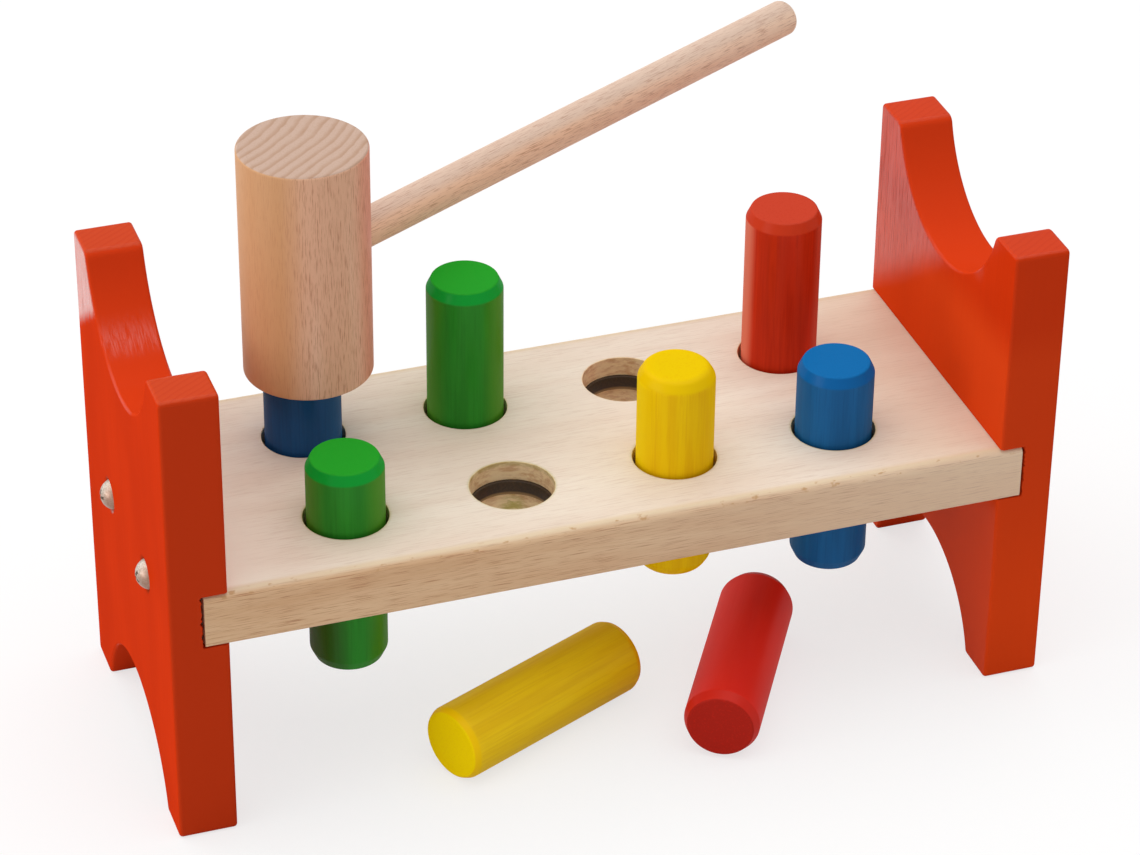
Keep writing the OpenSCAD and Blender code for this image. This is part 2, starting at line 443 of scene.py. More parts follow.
panel = {
    "height": 155.0,
    "cornerRadius": 1.7,        # seen from the side
    "cornerSteps": 6,
    "lipRadius": 3.2,           # where the top scoop meets the posts
    "edgeRadius": 1.1,          # across the thickness
    "edgeSteps": 5,
    "edgeSupport": 0.3,
    "scoopRadius": 38.4,
    "scoopRise": 10.2,          # the scoop's centre beyond the panel's edge
    "scoopSteps": 56,
    "grooveDepth": 8.0,
    "grooveLow": 68.3,
    "grooveHigh": 86.7,
    "groovePast": 2.0,          # how far the groove's cutter stands out of the wood
    "tear": 0.7,
    "tearSteps": 26,
    "tearSeed": 11,
    "screwRows": (-22.5, 22.5),
    "screwHeight": 77.5,
    "holeRadius": 2.05,
    "holePast": 1.0,
    "holeSteps": 48,
    "dimpleRadius": 4.85,
    "dimpleDepth": 0.5,
    "dimpleLip": ((0.5, -0.3), (1.1, -0.08), (1.9, 0.02)),  # out from the dimple's wall, and up from the face
    "edgeFrom": 0.02,           # what the paint takes as the rounded edge, in from the flat face
    "edgeShare": 0.98,
}

paint = {  # across and along from the bench's middle and up from the floor, all in mm
    "red": colour(214, 56, 14),
    "deep": colour(196, 48, 12),
    "warm": colour(236, 80, 28),
    "front": colour(196, 57, 22),
    "top": colour(205, 69, 24),
    "scoop": colour(214, 62, 24),
    "shade": colour(120, 40, 18),
    # a painted pink sheen for the left panel's upper back
    "sheenPink": colour(242, 156, 136),
    # grain: its size, detail and roughness
    "slowGrain": ((45, 30, 60), 2),
    "fibreGrain": ((1.2, 0.7, 26), 3, 0.6),
    "growthGrain": ((9, 9, 9), 2),
    "threadGrain": ((0.5, 0.36, 24), 3, 0.65),
    "openGrain": ((0.4, 0.34, 13), 2, 0.6),
    "combGrain": ((0.42, 7, 7), 3, 0.7),
    "glossGrain": ((6, 6, 9), 2),
    "peelGrain": ((2.4, 2.4, 2.4), 1),
    # steps say where a tone starts and where it is full, and shares how strong it then is
    "slowStep": (0.3, 0.7), "slowShare": 0.6,
    "streakStep": (0.35, 0.68), "streakShare": 0.22,
    "rightStep": (-40, 100),
    # painted light on the right panel below its scoop, and painted shade on the front faces
    "warmStep": (132, 114), "lowerLightShare": 0.5,
    "frontStep": (-51.6, -52.3), "frontShadeShares": (0.95, 0.6),    # on the left panel and on the right one
    "footStep": (90, 20),
    "flatStep": (8.7, 8.97),    # out from a panel's middle
    "topStep": (154.2, 154.8), "topShares": (0.8, 0.4),
    "postStep": (51, 50), "scoopShare": 0.8,
    # growth rings in the posts' end grain
    "growthAcross": 0.55, "growthAlong": 0.84, "growthWarp": 2.4, "growthGap": 2.1,
    "growthRise": (0.45, 0.92), "growthFall": (1.0, 0.92), "growthShare": 0.35,
    # the glossier upper back and its painted pink sheen: where its slanting edge lies, and how soft that is
    "slantAcross": 0.1212, "slantAlong": 0.7, "slantThreads": 14.0, "slantHeight": 142.5,
    "softAcross": 0.0076, "softWidth": 2.0, "softStep": (-2.5, 2.5),
    "openStep": (0.54, 0.62), "openShare": 0.4,
    "sheenStep": (0, -100), "sheenShare": 0.3,
    "polishCoat": 0.79, "polishLoss": 0.0014, "openCoats": (1, 0.5),
    "threadStep": (0.36, 0.64), "threadCoats": (1.2, 0.8),
    # the right panel's inner face under the board
    "innerStep": (122, 124), "underStep": (68, 60), "underCoat": 0.16,
    # the rubbed band in the left scoop
    "combStep": (0.4, 0.62), "combWarp": 5, "combOn": (14, 20), "combCoats": (0.1, 1.8),
    "bandRise": (12.0, 17.0), "bandFall": (27.5, 23.0), "bandLeft": (-122, -123.5), "bandTop": (143, 141),
    "bandCoat": 0.34,
    # the spot in the right scoop
    "spot": (126.5, -26.5, 138.0), "spotStep": (7.0, 1.5), "spotCoat": 0.3,
    # the glint on the scoops' lowest edges
    "glintRise": (122, 124), "glintFall": (130.5, 127), "glintAlong": (25, 20),
    "rimRise": (8.1, 8.4), "rimFall": (8.97, 8.8), "glintShares": (1, 0.5), "glintCoat": 0.35,
    "screwStep": (6.3, 4.7), "screwFace": (139, 140.2), "screwShare": 0.75,
    "topCoat": 0.17, "plainCoat": 0.01,
    "roughness": (0.36, 0.48), "specular": 0.0, "coatRoughness": 0.14, "coatIor": 1.62,
    "fibreHeight": 0.6, "peelHeight": 0.4, "bumpDepth": 0.04, "bumpShare": 0.5,
}


def panelOutline(inset, halfDepth):  # y and z, anticlockwise, moved into the wood by inset
    high, corner, lip = panel["height"], panel["cornerRadius"], panel["lipRadius"]
    scoop, rise = panel["scoopRadius"], panel["scoopRise"]
    few, many = panel["cornerSteps"], panel["scoopSteps"]

    def lipPlace(rounding):  # the middle of the rounding beside a scoop, and the slope where they meet
        reach = math.sqrt((scoop + rounding) ** 2 - (rounding + rise) ** 2)
        return reach, math.degrees(math.atan2(rounding + rise, reach))

    topLip, topSlope = lipPlace(lip)
    footLip, footSlope = lipPlace(corner)
    outer, small, soft = halfDepth - corner, corner - inset, lip - inset
    arcs = [
        (outer, corner, small, -90, 0, few), (outer, high - corner, small, 0, 90, few),
        (topLip, high - lip, soft, 90, 180 - topSlope, few),
        (0, high + rise, scoop + inset, -topSlope, topSlope - 180, many),
        (-topLip, high - lip, soft, topSlope, 90, few),
        (-outer, high - corner, small, 90, 180, few), (-outer, corner, small, 180, 270, few),
        (-footLip, corner, small, 270, 360 - footSlope, few),
        (0, -rise, scoop + inset, 180 - footSlope, footSlope, many),
        (footLip, corner, small, 180 + footSlope, 270, few),
    ]
    line = []
    for y, z, radius, start, end, steps in arcs:
        for k in range(steps + 1):
            if steps == many and k in (0, steps):
                continue  # a scoop's ends are the small corners' own points
            a = math.radians(start + (end - start) * k / steps)
            line.append((y + radius * math.cos(a), z + radius * math.sin(a)))
    return line


def grooveMesh(ends, side, reach):  # a sawn groove whose end wall is a little torn
    tears = random.Random(panel["tearSeed"] + side)
    low, high, count = panel["grooveLow"], panel["grooveHigh"], panel["tearSteps"]
    mouth, wall = ends if side > 0 else reversed(ends)
    line = [(mouth, low)]
    for k in range(count + 1):
        torn = tears.random() ** 2 * panel["tear"] if 0 < k < count else 0
        line.append((wall + side * torn, low + (high - low) * k / count))
    line.append((mouth, high))
    if side < 0:
        line.reverse()
    mesh = layeredMesh("groove", [[(x * mm, y * mm, z * mm) for x, z in line] for y in reach])
    facesOut(mesh)
    return mesh


def panelMesh(name, node, side):
    low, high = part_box(node)
    middleX, middleY = (low.x + high.x) / 2 / mm, (low.y + high.y) / 2 / mm
    halfThick, halfDepth = (high.x - low.x) / 2 / mm, (high.y - low.y) / 2 / mm
    edge, steps = panel["edgeRadius"], panel["edgeSteps"]
    layers = [(halfThick - edge - panel["edgeSupport"], 0.0)]
    for k in range(steps + 1):
        a = math.radians(90 * k / steps)
        layers.append((halfThick - edge + edge * math.sin(a), edge * (1 - math.cos(a))))
    layers = [(-x, inset) for x, inset in reversed(layers)] + layers
    body = layeredMesh(name, [
        [((x + middleX) * mm, (y + middleY) * mm, z * mm) for y, z in panelOutline(inset, halfDepth)]
        for x, inset in layers])

    inner = middleX - side * halfThick  # the face that carries the board
    past, reach = panel["groovePast"], halfDepth + panel["groovePast"]
    ends = sorted((inner - side * past, inner + side * panel["grooveDepth"]))
    groove = grooveMesh(ends, side, (middleY - reach, middleY + reach))
    radius, dimple, out = panel["holeRadius"], panel["dimpleRadius"], panel["holePast"]
    depth, through = panel["dimpleDepth"], 2 * halfThick + out
    lip = [(dimple + wide, rise) for wide, rise in panel["dimpleLip"]]
    profile = [(0, -through), (radius, -through), (radius, -depth), (dimple, -depth)]
    profile += lip + [(lip[-1][0], out), (0, out)]
    places = []
    for row in panel["screwRows"]:
        middle = Vector((middleX + side * halfThick, middleY + row, panel["screwHeight"])) * mm
        places.append(Matrix.Translation(middle) @ Matrix.Rotation(math.radians(90 * side), 4, "Y"))
    mesh = settled(cut(body, groove, turnedMeshes("holes", profile, panel["holeSteps"], places)), name)
    rim = mesh.attributes.new("edge", "FLOAT", "POINT")
    for k, vertex in enumerate(mesh.vertices):
        gap = halfThick - abs(vertex.co.x / mm - middleX)
        rim.data[k].value = 1.0 if panel["edgeFrom"] < gap < edge * panel["edgeShare"] else 0.0
    return mesh


def redPaint():
    material, maker = newMaterial("glossRedPaint")
    here = maker.local(Matrix.Translation((0, boxMiddle("left_end_panel").y, 0)))
    across, along, up = maker.axes(here)
    fromMiddle = abs(abs(across) - boxMiddle("right_end_panel").x / mm)
    fibres = maker.grain(here, *paint["fibreGrain"])
    slow = maker.patches(here, paint, "slow")
    red = maker.blend(slow * paint["slowShare"], paint["red"], paint["deep"])
    red = maker.blend(maker.step(fibres, *paint["streakStep"]) * paint["streakShare"], red, paint["deep"])
    # painted light: the right panel is lighter and warmer below its scoop, and painted shade: the front faces
    # are darker than the sides
    onRight = maker.step(across, *paint["rightStep"])
    red = maker.blend(onRight * maker.step(up, *paint["warmStep"]) * paint["lowerLightShare"], red, paint["warm"])
    dull = maker.step(along, *paint["frontStep"]) * ranged(onRight, *paint["frontShadeShares"])
    dull = dull * (1 - onRight * maker.step(up, *paint["footStep"]))
    red = maker.blend(dull, red, paint["front"])
    # end grain shows through on the tops of the posts
    flat = maker.step(fromMiddle, *paint["flatStep"])
    onTop = maker.step(up, *paint["topStep"])
    inScoop = (1 - flat) * (1 - onTop) * maker.step(abs(along), *paint["postStep"])
    red = maker.blend(inScoop * paint["scoopShare"], red, paint["scoop"])
    red = maker.blend(onTop * ranged(onRight, *paint["topShares"]), red, paint["top"])
    warp = maker.grain(here, *paint["growthGrain"]) * paint["growthWarp"]
    growth = (along * paint["growthAlong"] - across * paint["growthAcross"] + warp) / paint["growthGap"]
    line = maker.between(growth.fraction(), paint["growthRise"], paint["growthFall"])
    red = maker.blend(onTop * line * paint["growthShare"], red, paint["deep"])
    # the upper back of both panels' flat faces is glossier, with darker open fibres in it, and the left
    # panel's carries a painted pink sheen
    threads = maker.grain(here, *paint["threadGrain"])
    openFibres = maker.patches(here, paint, "open")
    slant = up + along * paint["slantAlong"] + across * paint["slantAcross"]
    slant = slant + (threads - 0.5) * paint["slantThreads"] - paint["slantHeight"]
    softness = across * paint["softAcross"] + paint["softWidth"]
    glossAndSheen = flat * maker.step(slant / softness, *paint["softStep"])
    paintedSheen = glossAndSheen * maker.step(across, *paint["sheenStep"]) * paint["sheenShare"]
    red = maker.blend(paintedSheen, red, paint["sheenPink"])
    red = maker.blend(glossAndSheen * openFibres * paint["openShare"], red, paint["shade"])
    shine = glossAndSheen * (paint["polishCoat"] - across * paint["polishLoss"])
    shine = shine * ranged(openFibres, *paint["openCoats"])
    shine = shine * ranged(maker.step(threads, *paint["threadStep"]), *paint["threadCoats"])
    under = flat * maker.step(across, *paint["innerStep"]) * maker.step(up, *paint["underStep"])
    # a rubbed band across the back slope of the left scoop, and a spot in the right one
    combed = maker.patches(here, paint, "comb")
    band = maker.step(along, *paint["bandRise"])
    band = band * maker.step(along + (combed - 0.5) * paint["combWarp"], *paint["bandFall"]) * (1 - flat)
    band = band * maker.step(across, *paint["bandLeft"]) * maker.step(up, *paint["bandTop"])
    combing = ranged(combed * maker.step(along, *paint["combOn"]), *paint["combCoats"])
    spotAcross, spotAlong, spotUp = paint["spot"]
    fromSpot = distance(across - spotAcross, along - spotAlong, up - spotUp)
    spot = maker.step(fromSpot, *paint["spotStep"])
    # the scoops' lowest edges catch the light
    edge = maker.node("ShaderNodeAttribute", {"attribute_name": "edge"}, out="Fac")
    low = maker.between(up, paint["glintRise"], paint["glintFall"])
    low = low * maker.step(abs(along), *paint["glintAlong"])
    low = low * maker.between(fromMiddle, paint["rimRise"], paint["rimFall"])
    glint = edge * low * ranged(onRight, *paint["glintShares"])
    # darker red-brown round the screw heads, on the outer faces
    fromScrew = distance(abs(along) - panel["screwRows"][1], up - panel["screwHeight"])
    screwRing = maker.step(fromScrew, *paint["screwStep"]) * maker.step(abs(across), *paint["screwFace"])
    red = maker.blend(screwRing * paint["screwShare"], red, paint["shade"])
    coat = shine + onTop * paint["topCoat"] + paint["plainCoat"] + glint * paint["glintCoat"]
    coat = coat + band * combing * paint["bandCoat"] + spot * paint["spotCoat"] + under * paint["underCoat"]
    peel = maker.grain(here, *paint["peelGrain"])
    height = fibres * paint["fibreHeight"] + peel * paint["peelHeight"]
    return coated(material, maker, paint, red, maker.grain(here, *paint["glossGrain"]), height, {
        "Coat Weight": coat, "Coat IOR": paint["coatIor"], "Coat Roughness": paint["coatRoughness"]})


redPaintMaterial = redPaint()
for name, node, side in (("leftPanel", "left_end_panel", -1), ("rightPanel", "right_end_panel", 1)):
    mounted(newObject(name, panelMesh(name, node, side), redPaintMaterial), "bench", "red_paint", node)
print("End panels made")

# Peg board

board = {
    "roundTop": 2.5,
    "roundBottom": 1.0,
    "roundSteps": 6,
    "roundSupport": 0.4,
    "pitchX": 157.6 / 3,
    "pitchY": 47.0,
    "columns": 4,
    "rows": 2,
    "boreRadius": 13.0,
    "boreSteps": 96,
    "borePast": 1.0,
    "grooveRadius": 14.6,
    "grooveHalf": 2.55,
    "rimEase": 0.4,
    "rimBow": 0.3,              # how far the eased rim bows in, as a share of its ease
}

beech = {  # along from the bench's middle, across and down from the board's, all in mm
    "cream": colour(243, 230, 213),
    "blush": colour(234, 214, 195),
    "pale": colour(255, 248, 230),
    "fleck": colour(190, 156, 130),
    "band": colour(228, 204, 168),
    "speck": colour(196, 146, 94),
    "edgeTan": colour(234, 199, 160),
    "edgeBrown": colour(216, 171, 129),
    "edgeFleck": colour(172, 108, 72),
    "boreTan": colour(255, 228, 188),
    "boreBrown": colour(214, 162, 120),
    "olive": colour(176, 172, 84),
    "bandGrain": ((18, 14, 110), 3, 0.55, 0.3),
    "fibreGrain": ((0.7, 0.5, 17), 3, 0.6),
    "fleckGrain": ((0.4, 0.32, 7.5), 2, 0.6),
    "longGrain": ((0.26, 0.5, 11), 2, 0.6),
    "speckGrain": ((2.2, 2.2, 3.6), 2),
    "mottleGrain": ((1.5, 2.4, 5.0), 3, 0.65),
    "bandStep": (0.3, 0.7), "bandShare": 0.8,
    "fibreStep": (0.4, 0.75), "fibreShare": 0.4,
    "fleckStep": (0.52, 0.67), "fleckShare": 0.24,
    "leftLightStep": (-96, -124),
    "rightStep": (60, 112), "rightShare": 0.35,
    # the long edges and the rounded corners above them
    "longStep": (0.53, 0.67), "longShare": 0.7,
    "lightStep": (-60, 130), "lightShare": 0.35,
    "sawnStep": (0.4, 0.9), "sawnFibres": 0.3,
    "edgeStep": (50.8, 52.4),
    "cornerStep": (48.2, 50.8), "cornerShare": 0.8,
    "speckStep": (0.60, 0.70), "speckAcross": (50.0, 51.0), "speckDown": (-6.8, -7.8), "speckShare": 0.7,
    # the bores and their rims
    "gridStep": (104, 100),
    "boreStep": (13.5, 13.1),
    "wallStep": (0.38, 0.72), "wallShare": 0.8,
    "frontStep": (4, -4),
    "rubbedDown": -8.6, "rubbedStep": (1.5, 0.5), "rubbedMottle": (0.3, 0.6), "rubbedShares": (0.1, 0.34),
    "smudge": (4.3, 12.7, 7.5), "smudgeStep": (6.0, 1.5), "smudgeMottle": (0.3, 0.55), "smudgeShare": 0.7,
    # the rims' painted green reflection
    "rimRise": (12.8, 13.2), "rimFall": (14.2, 13.4), "rimShares": (0.06, 0.22),
    "roughness": (0.48, 0.58), "specular": 0.12, "coat": 0.05, "coatRoughness": 0.3,
    "fibreHeight": 0.5, "fleckHeight": -0.5, "bumpDepth": 0.06, "bumpShare": 0.6,
}


def boardMesh():
    low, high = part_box("peg_board")
    middle = (low + high) / 2
    top, bottom = board["roundTop"] * mm, board["roundBottom"] * mm
    start = (middle.y, low.z)
    corners = [start, (high.y, low.z), (high.y, high.z), (low.y, high.z), (low.y, low.z), start]
    radii, support = [bottom, top, top, bottom], board["roundSupport"] * mm
    section = rounded(corners, radii, board["roundSteps"], support)[1:]
    body = layeredMesh("pegBoard", [[(x, y, z) for y, z in section] for x in (low.x, high.x)])
    radius, groove, half, ease = (board[k] for k in ("boreRadius", "grooveRadius", "grooveHalf", "rimEase"))
    halfThick = (high.z - low.z) / 2 / mm
    bow, past = ease * board["rimBow"], halfThick + board["borePast"]
    upper = [(groove, half), (radius, half), (radius, halfThick - ease), (radius + bow, halfThick - bow),
             (radius + ease, halfThick), (radius + ease, past), (0, past)]
    profile = [(r, -z) for r, z in reversed(upper)] + upper
    places = []
    for column in range(board["columns"]):
        for row in range(board["rows"]):
            x = (column - (board["columns"] - 1) / 2) * board["pitchX"] * mm
            y = (row - (board["rows"] - 1) / 2) * board["pitchY"] * mm
            places.append(Matrix.Translation(middle + Vector((x, y, 0))))
    return settled(cut(body, turnedMeshes("bores", profile, board["boreSteps"], places)), "pegBoard")


def plainBeech():
    material, maker = newMaterial("plainBeechBoard")
    here = maker.local(Matrix.Translation(boxMiddle("peg_board")) @ laidAlongX)
    down, across, along = maker.axes(here)
    bands = maker.grain(here, *beech["bandGrain"])
    fibres = maker.grain(here, *beech["fibreGrain"])
    flecks = maker.patches(here, beech, "fleck")
    blush = maker.step(bands, *beech["bandStep"]) * beech["bandShare"]
    wood = maker.blend(blush, beech["cream"], beech["blush"])
    wood = maker.blend(maker.step(fibres, *beech["fibreStep"]) * beech["fibreShare"], wood, beech["blush"])
    wood = maker.blend(flecks * beech["fleckShare"], wood, beech["fleck"])
    # painted light: paler towards the left end, where the left panel shades the board
    wood = maker.blend(maker.step(along, *beech["leftLightStep"]), wood, beech["pale"])
    wood = maker.blend(maker.step(along, *beech["rightStep"]) * beech["rightShare"], wood, beech["band"])
    # the long edges, sawn across the rays, are darker and carry longer flecks
    longFlecks = maker.patches(here, beech, "long")
    browner = maker.step(bands + fibres * beech["sawnFibres"], *beech["sawnStep"])
    sawn = maker.blend(browner, beech["edgeTan"], beech["edgeBrown"])
    sawn = maker.blend(longFlecks * beech["longShare"], sawn, beech["edgeFleck"])
    sawn = maker.blend(maker.step(along, *beech["lightStep"]) * beech["lightShare"], sawn, beech["cream"])
    specks = maker.patches(here, beech, "speck")
    specks = specks * maker.step(abs(across), *beech["speckAcross"]) * maker.step(down, *beech["speckDown"])
    onCorner = maker.step(abs(across), *beech["cornerStep"])
    wood = maker.blend(onCorner * beech["cornerShare"], wood, beech["band"])
    wood = maker.blend(maker.step(abs(across), *beech["edgeStep"]), wood, sawn)
    wood = maker.blend(specks * beech["speckShare"], wood, beech["speck"])
    # inside each bore
    halfX, halfY = board["pitchX"] / 2, board["pitchY"] / 2
    nearX = (along - halfX).wrapped(-halfX, halfX)
    nearY = (across - halfY).wrapped(-halfY, halfY)
    reach = distance(nearX, nearY)
    inGrid = maker.step(abs(along), *beech["gridStep"])
    inBore = maker.step(reach, *beech["boreStep"]) * inGrid
    mottle = maker.grain(here, *beech["mottleGrain"])
    browner = maker.step(mottle, *beech["wallStep"]) * beech["wallShare"]
    wall = maker.blend(browner, beech["boreTan"], beech["boreBrown"])
    # green stain from the pegs high on the front row's bore walls, and a smudge lower down
    frontRow = maker.step(across, *beech["frontStep"])
    marks = maker.step(abs(down - beech["rubbedDown"]), *beech["rubbedStep"])
    marks = marks * ranged(maker.step(mottle, *beech["rubbedMottle"]), *beech["rubbedShares"])
    smudgeAlong, smudgeAcross, smudgeDown = beech["smudge"]
    fromSmudge = distance(nearX - smudgeAlong, nearY - smudgeAcross, down - smudgeDown)
    smudge = maker.step(fromSmudge, *beech["smudgeStep"]) * maker.step(mottle, *beech["smudgeMottle"])
    marks = (marks + smudge * beech["smudgeShare"]) * frontRow
    wall = maker.blend(marks, wall, beech["olive"])
    wood = maker.blend(inBore, wood, wall)
    # a painted green reflection on the rims round the bores, stronger in the front row
    onRim = maker.between(reach, beech["rimRise"], beech["rimFall"]) * inGrid
    wood = maker.blend(onRim * ranged(frontRow, *beech["rimShares"]), wood, beech["olive"])
    height = fibres * beech["fibreHeight"] + flecks * beech["fleckHeight"]
    return coated(material, maker, beech, wood, flecks, height, {
        "Coat Weight": beech["coat"], "Coat Roughness": beech["coatRoughness"]})


beechMaterial = plainBeech()
mounted(newObject("pegBoard", boardMesh(), beechMaterial), "bench", "beech", "peg_board")
print("Peg board made")

# Rubber rings, one in the groove of each bore

rings = {
    "Inner radius": 12.05 * mm,
    "Outer radius": 14.55 * mm,
    "Height": 5.0 * mm,
    "Edge radius": 0.5 * mm,
    "Edge steps": 4,
    "Round steps": 96,
    "Column pitch": board["pitchX"] * mm,
    "Row pitch": board["pitchY"] * mm,
    "Columns": board["columns"],
    "Rows": board["rows"],
}

rubber = {
    "dark": colour(50, 35, 19),
    "pale": colour(67, 48, 27),
    "litLip": colour(146, 116, 76),
    "grain": ((0.6, 0.6, 0.6), 3),
    "paleStep": (0.35, 0.7),
    "litLipStep": (76.5, 75.6),   # up from the floor, at the lower lip
    "roughness": (0.5, 0.7),
    "specular": 0.4,
    "bumpDepth": 0.05,
    "bumpShare": 0.5,
}


def brownRubber():
    material, maker = newMaterial("brownRubber")
    here = maker.local(Matrix.Identity(4))
    speckle = maker.grain(here, *rubber["grain"])
    up = maker.axes(here)[2]
    tone = maker.blend(maker.step(speckle, *rubber["paleStep"]), rubber["dark"], rubber["pale"])
    # painted light: the lower lip is paler, as if lit
    tone = maker.blend(maker.step(up, *rubber["litLipStep"]), tone, rubber["litLip"])
    return coated(material, maker, rubber, tone, speckle, speckle, {"Coat Weight": 0.0})


def ringMesh(material):
    tree, maker, keys, given = shapeTree("gripRingGrid", rings)
    wide = given["Outer radius"] - given["Inner radius"]
    section = maker.node("GeometryNodeCurvePrimitiveQuadrilateral", None, {
        "Width": wide, "Height": given["Height"]})
    section = maker.node("GeometryNodeFilletCurve", {"mode": "POLY"}, {
        "Curve": section, "Count": given["Edge steps"], "Radius": given["Edge radius"], "Limit Radius": True})
    middle = (given["Outer radius"] + given["Inner radius"]) * 0.5
    path = maker.node("GeometryNodeCurvePrimitiveCircle", None, {
        "Resolution": given["Round steps"], "Radius": middle})
    path = maker.node("GeometryNodeSetCurveNormal", {"mode": "Z_UP"}, {"Curve": path})
    ring = maker.node("GeometryNodeCurveToMesh", None, {"Curve": path, "Profile Curve": section})
    grid = maker.node("GeometryNodeMeshGrid", None, {
        "Vertices X": given["Columns"], "Size X": given["Column pitch"] * (given["Columns"] - 1),
        "Vertices Y": given["Rows"], "Size Y": given["Row pitch"] * (given["Rows"] - 1)})
    placed = maker.node("GeometryNodeInstanceOnPoints", None, {"Points": grid, "Instance": ring})
    endTree(maker, placed, material)
    low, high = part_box("grip_ring_front_1")[0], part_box("grip_ring_back_4")[1]
    mesh = growMesh("gripRings", tree, keys, rings, (low + high) / 2)
    smooth(mesh, sharpFrom=50)
    return mesh


ringNodes = [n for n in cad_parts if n.startswith("grip_ring")]
mounted(newObject("gripRings", ringMesh(brownRubber())), "bench", "grip_rubber", *ringNodes)
print("Grip rings made")

# Pegs

peg = {
    "radius": 12.0,
    "length": 71.0,
    "roundSteps": 96,
    "bevelSteps": 5,
    "bevelSupport": 0.3,
    "flankTurn": -18.0,         # the way from one flank of a standing peg to the other
    "grainShift": (31, 17, 53),  # so that no two pegs have the same grain
}

bevels = {  # in from the side, down from the end, and the roundings of its two edges
    "crisp": (1.6, 3.4, 0.7, 1.6),
    "soft": (2.2, 3.7, 2.8, 3.4),
    "slight": (1.1, 2.3, 1.2, 2.4),
}

# each stain's flank colour and shares are painted light and reflections on the pegs' flanks
stains = {
    "green": {
        "sides": colour(46, 143, 41), "deep": colour(38, 121, 33), "end": colour(38, 161, 42),
        "bevel": colour(14, 159, 51), "flank": colour(84, 146, 38), "under": colour(64, 56, 26),
        "flankLights": (0.8, 0.85), "flankFrom": 4.5, "pores": 0.1, "coat": 0.2,
    },
    "blue": {
        "sides": colour(28, 98, 156), "deep": colour(24, 80, 130), "end": colour(18, 107, 172),
        "bevel": colour(12, 95, 160), "flank": colour(34, 96, 146),
        "flankLights": (0.3, 0.3), "pores": 0.1, "coat": 0.17,
    },
    "navy": {
        "sides": colour(29, 87, 145), "deep": colour(26, 70, 118), "end": colour(18, 107, 172),
        "bevel": colour(12, 99, 163), "flank": colour(36, 98, 152),
        "flankLights": (0.0, 0.5), "pores": 0.1, "coat": 0.25,
    },
    "yellow": {
        "sides": colour(244, 200, 10), "deep": colour(228, 168, 8), "end": colour(238, 200, 6),
        "bevel": colour(240, 198, 6), "flank": colour(252, 216, 10),
        "flankLights": (0.9, 0.3), "pores": 0.25, "coat": 0.1, "cut": "soft",
    },
    "amber": {
        "sides": colour(255, 214, 30), "deep": colour(238, 188, 24), "end": colour(255, 222, 0),
        "bevel": colour(255, 206, 10), "flank": colour(255, 216, 20),
        "flankLights": (0.0, 1.0), "pores": 0.25, "coat": 0.14, "cut": "slight",
    },
    "red": {
        "sides": colour(206, 50, 20), "deep": colour(180, 38, 14), "end": colour(202, 67, 44),
        "bevel": colour(204, 58, 28), "flank": colour(228, 120, 94),
        "flankLights": (0.9, 0.3), "flankFrom": 8.7, "pores": 0.2, "coat": 0.14,
    },
    "crimson": {
        "sides": colour(255, 54, 37), "deep": colour(252, 47, 32), "end": colour(176, 35, 23),
        "bevel": colour(210, 40, 25), "nearShade": colour(226, 44, 31),
        "flankLights": (), "pores": 0.15, "coat": 0.26, "gloss": 0.36,
    },
}

stained = {  # for every stain that doesn't say otherwise, in mm across a peg and along it from its middle
    "cut": "crisp", "gloss": 0.26, "flankFrom": 6.0, "flankTo": 11.2,
    "fibreGrain": ((0.7, 0.7, 22), 3, 0.6), "fibreStep": (0.42, 0.72), "fibreShare": 0.5,
    "bandGrain": ((5, 5, 60), 2, 0.5), "bandStep": (0.35, 0.65), "bandShare": 0.5,
    "mottleGrain": ((1.1, 1.1, 1.1), 3, 0.6),
    "poreGrain": ((0.7, 0.7, 2.5), 2, 0.6), "poreStep": (0.5, 0.72),
    # painted shade towards a lying peg's near end
    "nearShadeStep": (14, -26),
    "bevelFrom": -0.3, "bevelTo": 0.5,      # from where the bevel starts
    # painted shade low on one flank of a standing peg, below the board
    "underHeight": 4, "underAcross": (3, -7), "underShare": 0.6,
    "faceStep": (35.0, 35.4), "faceCoats": (1, 0.4),
    "roughness": (0.34, 0.48), "specular": 0.0,
    "fibreHeight": 0.7, "mottleHeight": 0.3, "bumpDepth": 0.05, "bumpShare": 0.6,
}

pegRows = [  # piece, body, CAD node, material slot, stain, heading of a lying peg
    ("greenFrontPeg", "green_front", "peg_green_front", "green_stain", "green", None),
    ("yellowFrontPeg", "yellow_front", "peg_yellow_front", "yellow_stain", "yellow", None),
    ("blueFrontPeg", "blue_front", "peg_blue_front", "blue_stain", "blue", None),
    ("blueBackPeg", "blue_back", "peg_blue_back", "blue_stain", "navy", None),
    ("greenBackPeg", "green_back", "peg_green_back", "green_stain", "green", None),
    ("redBackPeg", "red_back", "peg_red_back", "red_stain", "red", None),
    ("yellowLoosePeg", "yellow_loose", "peg_yellow_loose", "yellow_stain", "amber", 24.5),
    ("redLoosePeg", "red_loose", "peg_red_loose", "crimson_stain", "crimson", 59.5),
]


